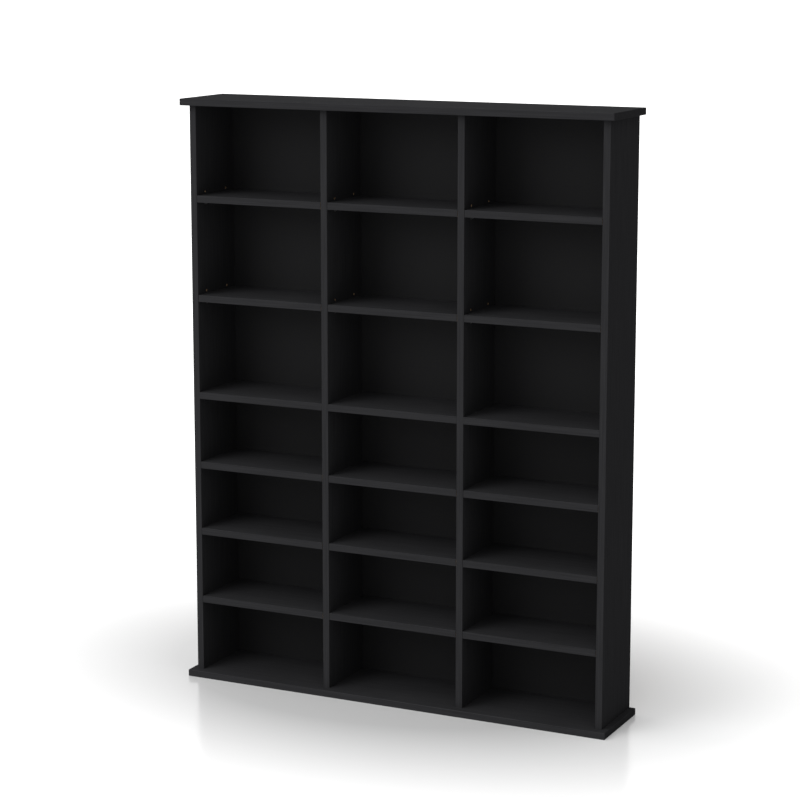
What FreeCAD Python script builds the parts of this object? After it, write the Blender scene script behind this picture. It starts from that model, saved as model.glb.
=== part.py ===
"""Storage tower for boxed discs: an open case of laminated board with loose shelves on pins.

The uprights are let into stopped grooves in the top and the base, the fixed shelves into grooves in the
uprights, and three thin back sheets in a rebate keep the case square. Every groove stops behind the front
edge, so only plain butt lines show from the front.
X runs to the right, Y to the back and Z up, in millimetres. The floor is Z = 0.
"""

import os

import FreeCAD
import Part

Vector = FreeCAD.Vector
RIGHT = Vector(1, 0, 0)
LEFT = Vector(-1, 0, 0)
UP = Vector(0, 0, 1)

# Boards and bays, rows from the base up
board = 15.0
bay_width = 304.0
low_row_heights = [155.0, 141.5, 136.0, 142.0]
tall_row_heights = [201.5, 203.5, 195.5]
case_depth = 165.0
front_overhang = 19.0
side_overhang = 14.0
panel_edge_chamfer = 1.0
front_edge_chamfer = 0.4

# Grooves that hold the boards' ends
groove_depth = 4.0
groove_stop = 12.0

# Back sheets in a rebate
back_thickness = 3.0
rebate_depth = 4.0
rebate_width = 8.0
back_gap = 0.5

# Loose shelves and their pins
shelf_end_gap = 0.75
shelf_rear_gap = 1.0
pin_diameter = 5.0
pin_fit = 0.05
pin_shank = 7.0
pin_rib = 1.4
pin_hole_depth = 9.0
pin_hole_step = 25.0
pin_inset = 36.0
peg_length = 9.0
peg_width = 8.0
peg_height = 8.0
peg_tip_height = 2.5

# Worked out from the sizes above
row_heights = low_row_heights + tall_row_heights
overall_width = 3 * bay_width + 4 * board + 2 * side_overhang
overall_depth = case_depth + front_overhang
overall_height = sum(row_heights) + (len(row_heights) + 1) * board
front_y = -overall_depth / 2
back_y = overall_depth / 2
case_front_y = front_y + front_overhang
inner_back_y = back_y - rebate_depth
groove_front_y = case_front_y + groove_stop
foot_z = board
head_z = overall_height - board
pitch = bay_width + board
upright_x = [(i - 1.5) * pitch for i in range(4)]
bay_x = [(i - 1) * pitch for i in range(3)]
shelf_levels = [
    board + sum(row_heights[: i + 1]) + i * board for i in range(len(row_heights) - 1)
]
fixed_row = len(low_row_heights) - 1
fixed_z = shelf_levels[fixed_row]
loose_rows = [i for i in range(len(shelf_levels)) if i != fixed_row]
pin_lines = [case_front_y + pin_inset, inner_back_y - pin_inset]
columns = ["left", "centre", "right"]


def box(x0, x1, y0, y1, z0, z1):
    return Part.makeBox(x1 - x0, y1 - y0, z1 - z0, Vector(x0, y0, z0))


def prism(outline, path):
    """A closed outline swept straight along the path."""
    face = Part.Face(Part.makePolygon(outline + outline[:1]))
    solid = face.extrude(path)
    return solid if solid.Volume > 0 else solid.reversed()


def machined(solid, tools):
    """Cut every groove, notch and hole of a board in one go."""
    result = solid.cut(tools)
    return result.Solids[0] if len(result.Solids) == 1 else result


def chamfered_front(solid, axis):
    """Break the front edges that run along the axis, as edge banding is trimmed."""
    edges = []
    for edge in solid.Edges:
        start, end = [vertex.Point for vertex in edge.Vertexes]
        on_front = max(abs(start.y - case_front_y), abs(end.y - case_front_y)) < 1e-6
        if on_front and abs((end - start).normalize().dot(axis)) > 0.99:
            edges.append(edge)
    return solid.makeChamfer(front_edge_chamfer, edges)


# Top and base


def outer_panel(z0, groove_z0):
    """Top or base board, chamfered all round, with a stopped groove for each upright."""
    half = overall_width / 2
    panel = box(-half, half, front_y, back_y, z0, z0 + board)
    panel = panel.makeChamfer(panel_edge_chamfer, panel.Edges)
    plans = [upright_outline(i, groove_front_y, groove_z0) for i in range(4)]
    return machined(panel, [prism(plan, UP * groove_depth) for plan in plans])


def base_panel():
    return outer_panel(0, foot_z - groove_depth)


def top_panel():
    return outer_panel(head_z, head_z)


# Uprights


def upright_outline(i, start_y, z):
    """Plan of an upright from start_y back; a side has the rebate for the back on its inner edge."""
    x = upright_x[i]
    half = board / 2
    if i in (1, 2):
        plan = [(-half, start_y), (half, start_y), (half, inner_back_y), (-half, inner_back_y)]
    else:
        plan = [
            (-half, start_y),
            (half, start_y),
            (half, inner_back_y),
            (half - rebate_width, inner_back_y),
            (half - rebate_width, back_y),
            (-half, back_y),
        ]
    mirror = -1 if i == 3 else 1
    return [Vector(x + mirror * dx, y, z) for dx, y in plan]


def upright_blank(i):
    """An upright before its holes are drilled, its ends notched to fit the stopped grooves."""
    start_z = foot_z - groove_depth
    length = head_z + groove_depth - start_z
    blank = prism(upright_outline(i, case_front_y, start_z), UP * length)
    return machined(chamfered_front(blank, UP), end_notches(i))


def end_notches(i):
    """What is cut from an upright's front corners so that its ends fit the stopped grooves."""
    x0 = upright_x[i] - board
    x1 = upright_x[i] + board
    foot = box(x0, x1, case_front_y, groove_front_y, foot_z - groove_depth, foot_z)
    head = box(x0, x1, case_front_y, groove_front_y, head_z, head_z + groove_depth)
    return [foot, head]


def shelf_groove(face_x, inward):
    """Stopped groove for a fixed shelf, cut inward from an upright's face."""
    x0 = min(face_x, face_x + inward * groove_depth)
    x1 = max(face_x, face_x + inward * groove_depth)
    return box(x0, x1, groove_front_y, inner_back_y, fixed_z, fixed_z + board)


def pin_heights():
    """A hole at each loose shelf, and a second setting one step up among the tall rows."""
    heights = [shelf_levels[row] - peg_height / 2 for row in loose_rows]
    tall = [shelf_levels[row] - peg_height / 2 for row in loose_rows if row > fixed_row]
    return heights + [z + pin_hole_step for z in tall]


def pin_holes(face_x, direction, depth):
    return [
        Part.makeCylinder(pin_diameter / 2, depth, Vector(face_x, y, z), direction)
        for y in pin_lines
        for z in pin_heights()
    ]


def side_panel(i):
    """Outer upright: rebated for the back, with blind pin holes in its inner face."""
    outward = LEFT if i == 0 else RIGHT
    x_in = upright_x[i] - outward.x * board / 2
    holes = pin_holes(x_in, outward, pin_hole_depth)
    return machined(upright_blank(i), [shelf_groove(x_in, outward.x)] + holes)


def divider(i):
    """Inner upright: its pin holes go right through for the bays on both sides."""
    x0 = upright_x[i] - board / 2
    x1 = upright_x[i] + board / 2
    grooves = [shelf_groove(x0, RIGHT.x), shelf_groove(x1, LEFT.x)]
    return machined(upright_blank(i), grooves + pin_holes(x0, RIGHT, board))


# Shelves and back


def fixed_shelf(column):
    """Shelf between the low and the tall rows, let into the uprights at both ends."""
    x = bay_x[column]
    clear = bay_width / 2
    half = clear + groove_depth
    z0 = fixed_z
    z1 = fixed_z + board
    shelf = box(x - half, x + half, case_front_y, inner_back_y, z0, z1)
    shelf = chamfered_front(shelf, RIGHT)
    left = box(x - half, x - clear, case_front_y, groove_front_y, z0, z1)
    right = box(x + clear, x + half, case_front_y, groove_front_y, z0, z1)
    return machined(shelf, [left, right])


def loose_shelf(column, row):
    x = bay_x[column]
    half = bay_width / 2 - shelf_end_gap
    z = shelf_levels[row]
    shelf = box(x - half, x + half, case_front_y, inner_back_y - shelf_rear_gap, z, z + board)
    return chamfered_front(shelf, RIGHT)


def back_sheet(column):
    """Hardboard sheet: its edges lie in a side's rebate or half way across a divider."""
    left = upright_x[column] + back_gap / 2
    right = upright_x[column + 1] - back_gap / 2
    if column == 0:
        left = upright_x[0] + board / 2 - rebate_width + back_gap
    if column == 2:
        right = upright_x[3] - board / 2 + rebate_width - back_gap
    rear_y = inner_back_y + back_thickness
    return box(left, right, inner_back_y, rear_y, foot_z, head_z)


# Pins


def shelf_pin():
    """Moulded pin: a cross-ribbed shank and a wedge with a flat top, the board's face at X = 0."""
    half = peg_width / 2
    top = peg_height / 2
    profile = [
        Vector(0, -half, -top),
        Vector(peg_length, -half, top - peg_tip_height),
        Vector(peg_length, -half, top),
        Vector(0, -half, top),
    ]
    wedge = prism(profile, Vector(0, peg_width, 0))
    rib = pin_rib / 2
    reach = (pin_diameter**2 / 4 - rib**2) ** 0.5 - pin_fit
    root = peg_length / 4
    upright_rib = box(-pin_shank, root, -rib, rib, -reach, reach)
    level_rib = box(-pin_shank, root, -reach, reach, -rib, rib)
    return wedge.fuse([upright_rib, level_rib]).removeSplitter().Solids[0]


def shelf_pins(column):
    """Four pins under each loose shelf of a column, in mirrored pairs."""
    pins = []
    for row in loose_rows:
        z = shelf_levels[row] - peg_height / 2
        for y in pin_lines:
            for side, turn in ((-1, 0), (1, 180)):
                pin = shelf_pin()
                spot = Vector(bay_x[column] + side * bay_width / 2, y, z)
                pin.Placement = FreeCAD.Placement(spot, FreeCAD.Rotation(UP, turn))
                pins.append(pin)
    return Part.makeCompound(pins)


nodes = {
    "base_panel": base_panel(),
    "top_panel": top_panel(),
    "left_side_panel": side_panel(0),
    "left_divider": divider(1),
    "right_divider": divider(2),
    "right_side_panel": side_panel(3),
}
for column, name in enumerate(columns):
    nodes[f"{name}_fixed_shelf"] = fixed_shelf(column)
    nodes[f"{name}_back_sheet"] = back_sheet(column)
    nodes[f"{name}_shelf_pins"] = shelf_pins(column)
    for row in loose_rows:
        nodes[f"{name}_shelf_{row + 1}"] = loose_shelf(column, row)

os.makedirs("parts", exist_ok=True)
for name, shape in nodes.items():
    shape.exportStep(f"parts/{name}.step")
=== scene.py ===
"""Looks for the open media storage tower: black laminated boards, a thin nailed back and moulded shelf pins.

The sections follow the tower as it is put together. Lengths are in metres and colours are linear.
"""

import math

import bmesh
import bpy
from mathutils import Matrix, Vector


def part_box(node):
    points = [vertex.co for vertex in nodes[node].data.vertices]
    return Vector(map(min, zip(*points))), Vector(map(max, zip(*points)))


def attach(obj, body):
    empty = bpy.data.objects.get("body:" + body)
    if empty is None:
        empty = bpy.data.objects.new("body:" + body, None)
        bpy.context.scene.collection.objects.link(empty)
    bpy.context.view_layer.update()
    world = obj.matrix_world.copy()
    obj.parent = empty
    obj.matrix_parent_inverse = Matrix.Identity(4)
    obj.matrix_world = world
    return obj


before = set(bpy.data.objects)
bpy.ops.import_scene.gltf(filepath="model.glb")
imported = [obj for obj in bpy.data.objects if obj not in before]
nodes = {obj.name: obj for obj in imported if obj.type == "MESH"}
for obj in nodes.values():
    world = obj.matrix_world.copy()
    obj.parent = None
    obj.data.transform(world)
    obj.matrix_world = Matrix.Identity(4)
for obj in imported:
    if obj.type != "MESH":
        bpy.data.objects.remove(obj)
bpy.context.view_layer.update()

# Base and top. Chipboard faced with dull black melamine paper that has a faint grain pressed in along it.
# Plastic band covers the front and both ends and is trimmed to a small chamfer. The rear edge is left raw.
# Grooves milled in the two inner faces hold the ends of the uprights.
melamine_dark = (0.0250, 0.0250, 0.0266, 1)
melamine_pale = (0.0330, 0.0330, 0.0350, 1)
melamine_specular = 0.0001
melamine_roughness = (0.36, 0.50)
pore_roughness = 0.03
settled_dust = (0.085, 0.085, 0.088, 1)
most_dust = 0.09
rubbed_edge = (0.042, 0.042, 0.045, 1)
chips_dark = (0.24, 0.15, 0.08, 1)
chips_pale = (0.50, 0.36, 0.22, 1)
gaps_between_chips = (0.16, 0.09, 0.05, 1)
core_roughness = 0.85

# The part of the handling marks, and of the space between chips, over which each effect comes in
dusty_part = (0.35, 0.75)
rubbed_part = (0.4, 0.7)
rubbed_share = (0.1, 0.9)
pitted_part = (0.35, 0.8)
most_pitted = 0.5

# Limits of a face's unit normal: one that looks up, a slanted edge as against side and front, a narrow face
upward_part = (0.8, 1.0)
steeper_than_side = 0.3
flatter_than_front = 0.95
narrow_below = 0.5

# Waves per metre, along the grain and across it, or along X, Y and Z for marks that follow no grain
line_waves = (9, 420)
pore_waves = (60, 1500)
handling_waves = (5, 5, 5)
flake_waves = (900, 500, 900)
chips_per_metre = 700.0

# Strength and depth of each relief
line_relief = (0.10, 0.0002)
pore_relief = (0.08, 0.0001)
core_relief = (0.6, 0.0006)

trimmed_band = 0.0004
panel_edge_radius = 0.0004
weld_distance = 0.00002
flat_within = math.radians(1)
sharp_beyond = math.radians(30)


def new_finish(name):
    """A new material with its node tree and its principled shader."""
    material = bpy.data.materials.new(name)
    material.use_nodes = True
    tree = material.node_tree
    return material, tree, tree.nodes["Principled BSDF"]


def feed(tree, node, inputs):
    """Set each input of a node to a value, or link it to another node's output."""
    for key, value in inputs.items():
        if isinstance(value, bpy.types.NodeSocket):
            tree.links.new(value, node.inputs[key])
        else:
            node.inputs[key].default_value = value


def add(tree, kind, inputs, **settings):
    """A node with its settings and inputs; returns its first output."""
    node = tree.nodes.new(kind)
    for name, value in settings.items():
        setattr(node, name, value)
    feed(tree, node, inputs)
    return node.outputs[0]


def calculate(tree, operation, first, second=0.0):
    return add(tree, "ShaderNodeMath", {0: first, 1: second}, operation=operation)


def multiply(tree, first, second):
    return calculate(tree, "MULTIPLY", first, second)


def components(tree, vector):
    node = tree.nodes.new("ShaderNodeSeparateXYZ")
    feed(tree, node, {0: vector})
    return node.outputs


def coordinates(tree, kind):
    """Where a point is (Object) or which way its face looks (Normal), in the piece's own space."""
    return tree.nodes.new("ShaderNodeTexCoord").outputs[kind]


def combine(tree, operation, first, second):
    """A vector worked out from two others, axis by axis."""
    return add(tree, "ShaderNodeVectorMath", {0: first, 1: second}, operation=operation)


def noise(tree, place, waves, detail):
    """Noise between 0 and 1 with its own number of waves per metre along each axis."""
    scaled = combine(tree, "MULTIPLY", place, waves)
    return add(tree, "ShaderNodeTexNoise", {"Vector": scaled, "Scale": 1.0, "Detail": detail})


def spread(tree, value, low, high, start=0.3, end=0.7):
    """The part of a value from start to end, laid out between low and high."""
    return add(tree, "ShaderNodeMapRange", {"Value": value, 1: start, 2: end, 3: low, 4: high})


def blend_colour(tree, share, first, second):
    """The first colour where the share is 0, the second where it is 1."""
    mix = tree.nodes.new("ShaderNodeMix")
    mix.data_type = "RGBA"
    feed(tree, mix, {0: share, 6: first, 7: second})
    return mix.outputs[2]


def relief(tree, height, strength, depth, below=None):
    """A bump of the surface, laid over another one where below is given."""
    inputs = {"Height": height, "Strength": strength, "Distance": depth}
    if below is not None:
        inputs["Normal"] = below
    return add(tree, "ShaderNodeBump", inputs)


def along_grain(grain, waves):
    """Waves per metre for each axis: the first number along the grain, the second across it."""
    return [waves[0] if letter == grain else waves[1] for letter in "XYZ"]


def chipboard(tree, place):
    """The pressed core: pale and dark flakes with pits between them. Also returns the flakes' height."""
    flakes = noise(tree, place, flake_waves, detail=3.0)
    pressed_chips = blend_colour(tree, spread(tree, flakes, 0.0, 1.0), chips_dark, chips_pale)
    cells = {"Vector": place, "Scale": chips_per_metre, "Randomness": 1.0}
    away_from_chip = add(tree, "ShaderNodeTexVoronoi", cells)
    pits = spread(tree, away_from_chip, 0.0, most_pitted, *pitted_part)
    return blend_colour(tree, pits, pressed_chips, gaps_between_chips), flakes


def laminate(name, grain, thickness, banded_to):
    """Melamine board with its grain along one axis and its thickness along another. Its narrow faces are
    covered by the band up to the depth banded_to, and show the raw core behind that."""
    material, tree, principled = new_finish(name)
    place = coordinates(tree, "Object")
    depth = components(tree, place)[1]
    normal = components(tree, coordinates(tree, "Normal"))
    lines = noise(tree, place, along_grain(grain, line_waves), detail=4.0)
    pores = noise(tree, place, along_grain(grain, pore_waves), detail=2.0)
    handling = noise(tree, place, handling_waves, detail=5.0)

    # Grained black, with a little dust where a face looks up
    black = blend_colour(tree, spread(tree, lines, 0.0, 1.0), melamine_dark, melamine_pale)
    faces_up = spread(tree, normal[2], 0.0, 1.0, *upward_part)
    dust = multiply(tree, faces_up, spread(tree, handling, 0.0, most_dust, *dusty_part))
    black = blend_colour(tree, dust, black, settled_dust)

    # Slanted faces are the trimmed edges, rubbed paler by hands
    slant = calculate(tree, "ABSOLUTE", normal[1])
    off_side = calculate(tree, "GREATER_THAN", slant, steeper_than_side)
    off_front = calculate(tree, "LESS_THAN", slant, flatter_than_front)
    rubbing = spread(tree, handling, *rubbed_share, *rubbed_part)
    rubbed = multiply(tree, multiply(tree, off_side, off_front), rubbing)
    black = blend_colour(tree, rubbed, black, rubbed_edge)

    # Raw core on the narrow faces that no band covers
    across = calculate(tree, "ABSOLUTE", normal["XYZ".index(thickness)])
    narrow = calculate(tree, "LESS_THAN", across, narrow_below)
    raw = multiply(tree, narrow, calculate(tree, "GREATER_THAN", depth, banded_to))
    core, flakes = chipboard(tree, place)

    handled = spread(tree, handling, *melamine_roughness)
    handled = calculate(tree, "ADD", handled, spread(tree, pores, -pore_roughness, pore_roughness))
    pressed = relief(tree, lines, *line_relief)
    pressed = relief(tree, pores, *pore_relief, below=pressed)
    surface = {
        "Base Color": blend_colour(tree, raw, black, core),
        "Roughness": calculate(tree, "MAXIMUM", handled, multiply(tree, raw, core_roughness)),
        "Specular IOR Level": melamine_specular,
        "Normal": relief(tree, multiply(tree, raw, flakes), *core_relief, below=pressed),
    }
    feed(tree, principled, surface)
    return material


def dress(name, finish):
    nodes[name].data.materials.clear()
    nodes[name].data.materials.append(finish)


def soften_edges(name, radius):
    """Round a piece's sharp edges a little, so that they catch the light."""
    piece = nodes[name]
    weld = piece.modifiers.new("weld", "WELD")
    weld.merge_threshold = weld_distance
    flat = piece.modifiers.new("flat faces", "DECIMATE")
    flat.decimate_type = "DISSOLVE"
    flat.angle_limit = flat_within
    soft = piece.modifiers.new("soft edges", "BEVEL")
    soft.width = radius
    soft.segments = 2
    soft.limit_method = "ANGLE"
    soft.angle_limit = sharp_beyond
    soft.harden_normals = True


panel_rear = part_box("base_panel")[1].y
panel_finish = laminate("panel laminate", grain="X", thickness="Z", banded_to=panel_rear - trimmed_band)
for name in ("base_panel", "top_panel"):
    dress(name, panel_finish)
    soften_edges(name, panel_edge_radius)

# Uprights. Two sides and two dividers of the same laminated chipboard, with the grain upright.
# Only the front edge has a band: the rear edges, the ends and the drilled pin holes are raw chipboard.
# Their ends are glued into the grooves of the base and the top.
band_thickness = 0.0008
band_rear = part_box("left_divider")[0].y + band_thickness
upright_finish = laminate("upright laminate", grain="Z", thickness="X", banded_to=band_rear)
for name in ("left_side_panel", "left_divider", "right_divider", "right_side_panel"):
    dress(name, upright_finish)

# Shelves. Laminated chipboard with a band on the front edge, and raw at the ends and the rear.
# The fixed ones, between the low and the tall rows, are glued into grooves in the uprights.
# The loose ones each lie on four pins and lift out.
shelf_edge_radius = 0.00015
shelf_finish = laminate("shelf laminate", grain="X", thickness="Z", banded_to=band_rear)
for name in nodes:
    if "shelf" in name and "pins" not in name:
        dress(name, shelf_finish)
        soften_edges(name, shelf_edge_radius)

# Back sheets. Thin hardboard, faced with matte black foil inside, and raw brown and fibrous at the rear.
# The three sheets lie in the sides' rebates and meet behind the dividers, and they keep the case square.
foil_dark = (0.0110, 0.0110, 0.0117, 1)
foil_pale = (0.0160, 0.0160, 0.0168, 1)
brown_dark = (0.18, 0.105, 0.056, 1)
brown_pale = (0.23, 0.138, 0.075, 1)
fibre_brown = (0.11, 0.058, 0.030, 1)
most_fibre = 0.6
fibre_waves = (700, 700, 700)
cloud_waves = (7, 7, 7)
fibre_relief = (0.25, 0.0002)
hardboard_roughness = (0.55, 0.75)
hardboard_specular = 0.10

hardboard, tree, principled = new_finish("faced hardboard")
place = coordinates(tree, "Object")
normal = components(tree, coordinates(tree, "Normal"))
fibres = noise(tree, place, fibre_waves, detail=6.0)
clouds = noise(tree, place, cloud_waves, detail=4.0)
foil = blend_colour(tree, spread(tree, fibres, 0.0, 1.0), foil_dark, foil_pale)
brown = blend_colour(tree, clouds, brown_dark, brown_pale)
brown = blend_colour(tree, spread(tree, fibres, 0.0, most_fibre), brown, fibre_brown)
faces_front = calculate(tree, "LESS_THAN", normal[1], -0.5)
surface = {
    "Base Color": blend_colour(tree, faces_front, brown, foil),
    "Roughness": spread(tree, fibres, *hardboard_roughness),
    "Specular IOR Level": hardboard_specular,
    "Normal": relief(tree, fibres, *fibre_relief),
}
feed(tree, principled, surface)
sheet_names = ("left_back_sheet", "centre_back_sheet", "right_back_sheet")
for name in sheet_names:
    dress(name, hardboard)

# Back nails. Small steel nails with a low domed head, which go through the sheets into the uprights and the
# fixed shelves. They are driven by hand, so no two stand quite alike, and the boards hide their shanks.
nails_per_edge = 8
edge_inset = 0.0040
nail_sides = 14
merge_distance = 0.00001
steel_dark = (0.20, 0.19, 0.18, 1)
steel_pale = (0.42, 0.41, 0.40, 1)
steel_roughness = (0.30, 0.55)
scuff_waves = (900, 900, 900)

# The profile from the crown of the head to the point, as radius and height above the sheet
domed_head = [(0, 0.00060), (0.00105, 0.00057), (0.00170, 0.00042), (0.00190, 0.00021), (0.00190, 0)]
pointed_shank = [(0.00070, 0), (0.00070, -0.0140), (0, -0.0160)]

# How far a nail leans, and what makes it differ from nail to nail and from sheet to sheet, in radians
most_lean = 0.05
nail_swing = 7.0
sheet_swing = 3.0


def nail_spots(sheet):
    """A row down each edge of the sheet, and a pair at the fixed shelf."""
    low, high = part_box(sheet)
    first = low.z + 2 * edge_inset
    step = (high.z - 2 * edge_inset - first) / (nails_per_edge - 1)
    edges = (low.x + edge_inset, high.x - edge_inset)
    spots = [(x, first + k * step) for x in edges for k in range(nails_per_edge)]
    shelf_low, shelf_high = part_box("centre_fixed_shelf")
    level = (shelf_low.z + shelf_high.z) / 2
    quarter = (high.x - low.x) / 4
    return spots + [(low.x + quarter, level), (high.x - quarter, level)]


def add_nail(mesh, seat):
    """One nail, spun from its profile and set with the underside of its head on the seat."""
    before = set(mesh.verts)
    profile = [mesh.verts.new((radius, 0, height)) for radius, height in domed_head + pointed_shank]
    line = [mesh.edges.new(pair) for pair in zip(profile, profile[1:])]
    bmesh.ops.spin(
        mesh,
        geom=profile + line,
        cent=(0, 0, 0),
        axis=(0, 0, 1),
        angle=math.tau,
        steps=nail_sides,
        use_merge=True,
    )
    nail = [vert for vert in mesh.verts if vert not in before]
    bmesh.ops.transform(mesh, matrix=seat, verts=nail)


def place_mesh(name, mesh):
    """A new object in the scene, made from a finished bmesh."""
    data = bpy.data.meshes.new(name)
    mesh.to_mesh(data)
    mesh.free()
    made = bpy.data.objects.new(name, data)
    bpy.context.collection.objects.link(made)
    return made


nails = bmesh.new()
for number, sheet in enumerate(sheet_names):
    sheet_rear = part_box(sheet)[1].y
    for count, (x, z) in enumerate(nail_spots(sheet)):
        lean = most_lean * math.sin(nail_swing * count + sheet_swing * number)
        turn = Matrix.Rotation(math.radians(-90) + lean, 4, "X")
        add_nail(nails, Matrix.Translation((x, sheet_rear, z)) @ turn)
bmesh.ops.remove_doubles(nails, verts=nails.verts, dist=merge_distance)
bmesh.ops.recalc_face_normals(nails, faces=nails.faces)
for face in nails.faces:
    face.smooth = True
back_nails = place_mesh("back_nails", nails)

steel, tree, principled = new_finish("bright steel")
scuffs = noise(tree, coordinates(tree, "Object"), scuff_waves, detail=3.0)
surface = {
    "Base Color": blend_colour(tree, spread(tree, scuffs, 0.0, 1.0), steel_dark, steel_pale),
    "Roughness": spread(tree, scuffs, *steel_roughness),
    "Metallic": 1.0,
}
feed(tree, principled, surface)
back_nails.data.materials.append(steel)
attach(back_nails, "cabinet")

# Shelf pins. Black moulded plastic with a fine spark-eroded texture and slightly rounded edges.
# The ribbed shank is pushed into a drilled hole, and the shelf lies on the flat top of the wedge.
pin_dark = (0.018, 0.018, 0.019, 1)
pin_pale = (0.030, 0.030, 0.031, 1)
pin_roughness = (0.42, 0.58)
grit_waves = (2600, 2600, 2600)
grit_relief = (0.2, 0.0001)
pin_edge_radius = 0.0003

pin_plastic, tree, principled = new_finish("moulded black plastic")
grit = noise(tree, coordinates(tree, "Object"), grit_waves, detail=2.0)
surface = {
    "Base Color": blend_colour(tree, grit, pin_dark, pin_pale),
    "Roughness": spread(tree, grit, *pin_roughness),
    "Normal": relief(tree, grit, *grit_relief),
}
feed(tree, principled, surface)
for name in ("left_shelf_pins", "centre_shelf_pins", "right_shelf_pins"):
    dress(name, pin_plastic)
    soften_edges(name, pin_edge_radius)

# Floor. A pale, glossy studio floor that mirrors the tower faintly and takes its shadow.
# It also has a glow, weak in an oval patch round the tower and stronger outside, so that it fades to white.
# The weak oval patch is a painted shadow round the tower's foot.
# The glow is only seen, straight or in a reflection, and lights nothing.
floor_reach = 150.0
floor_grey = (0.80, 0.80, 0.80, 1)
floor_roughness = 0.18
floor_specular = 0.5
white = (1, 1, 1, 1)

# The oval patch of painted shadow: its middle, its squeeze along each axis,
# and how far out the glow starts and ends its rise
painted_shadow_middle = Vector((-0.10, 0.15, 0))
painted_shadow_squeeze = Vector((0.7, 1, 1))
painted_shadow_fade_start = 0.37
painted_shadow_fade_end = 0.97
glow_in_painted_shadow = 0.05
far_glow = 0.80


def measure(tree, operation, first, second=(0, 0, 0)):
    """A vector's length, or its dot product with another, as one number."""
    node = tree.nodes.new("ShaderNodeVectorMath")
    node.operation = operation
    feed(tree, node, {0: first, 1: second})
    return node.outputs["Value"]


def seen_rays(tree):
    """1 where a surface is seen, straight, mirrored or through glass, and 0 where it only lights others."""
    rays = tree.nodes.new("ShaderNodeLightPath").outputs
    seen = calculate(tree, "MAXIMUM", rays["Is Camera Ray"], rays["Is Glossy Ray"])
    return calculate(tree, "MAXIMUM", seen, rays["Is Transmission Ray"])


floor_plane = bmesh.new()
bmesh.ops.create_grid(floor_plane, x_segments=1, y_segments=1, size=floor_reach)
floor = place_mesh("floor", floor_plane)

floor_finish, tree, principled = new_finish("pale floor with painted shadow")
# The glow is weak inside the oval round the tower, which paints a shadow on the floor there
from_painted_shadow_middle = combine(tree, "SUBTRACT", coordinates(tree, "Object"), painted_shadow_middle)
painted_shadow_distance = measure(tree, "LENGTH", combine(tree, "MULTIPLY", from_painted_shadow_middle, painted_shadow_squeeze))
glow_with_painted_shadow = spread(tree, painted_shadow_distance, glow_in_painted_shadow, far_glow, painted_shadow_fade_start, painted_shadow_fade_end)
surface = {
    "Base Color": floor_grey,
    "Roughness": floor_roughness,
    "Specular IOR Level": floor_specular,
    "Emission Color": white,
    "Emission Strength": multiply(tree, seen_rays(tree), glow_with_painted_shadow),
}
feed(tree, principled, surface)
floor.data.materials.append(floor_finish)

# Studio light. A wide softbox above the front left, whose light falls off towards the back right.
# The backdrop itself shows plain white, also in reflections. A large lamp at the front left draws the shadow.
softbox = Vector((-0.50, -0.68, 0.53)).normalized()
darkest = 0.10
brightest = 1.20
falloff_start = -0.3
falloff_end = 1.0
lamp_place = Vector((-2.6, -4.2, 3.6))
lamp_target = Vector((0, 0, 0.6))
lamp_size = 3.0
lamp_watts = 100

world = bpy.data.worlds.new("studio")
world.use_nodes = True
tree = world.node_tree
toward_softbox = measure(tree, "DOT_PRODUCT", coordinates(tree, "Generated"), softbox)
strength = spread(tree, toward_softbox, darkest, brightest, falloff_start, falloff_end)
backdrop = {"Color": white, "Strength": calculate(tree, "MAXIMUM", strength, seen_rays(tree))}
feed(tree, tree.nodes["Background"], backdrop)
bpy.context.scene.world = world

light = bpy.data.lights.new("key", "AREA")
light.shape = "RECTANGLE"
light.size = lamp_size
light.size_y = lamp_size
light.energy = lamp_watts
lamp = bpy.data.objects.new("key", light)
lamp.location = lamp_place
lamp.rotation_euler = (lamp_target - lamp_place).to_track_quat("-Z", "Y").to_euler()
bpy.context.collection.objects.link(lamp)

# Camera. It stands at the photograph's viewpoint, to the right of the front and a little higher than the top.
# Its place, its angles and its lens were solved from the straight edges of the boards.
camera_place = (2.1653, -4.4937, 1.6373)
turned_left = math.radians(25.885)
tilted_down = math.radians(10.126)
film_width_mm = 36.0
lens_mm = 106.535
framing_shift = -0.05

camera_data = bpy.data.cameras.new("camera")
camera_data.sensor_width = film_width_mm
camera_data.lens = lens_mm
camera_data.shift_y = framing_shift
camera = bpy.data.objects.new("camera", camera_data)
camera.location = camera_place
camera.rotation_euler = (math.radians(90) - tilted_down, 0, turned_left)
bpy.context.collection.objects.link(camera)
bpy.context.scene.camera = camera
bpy.context.scene.view_settings.view_transform = "Standard"
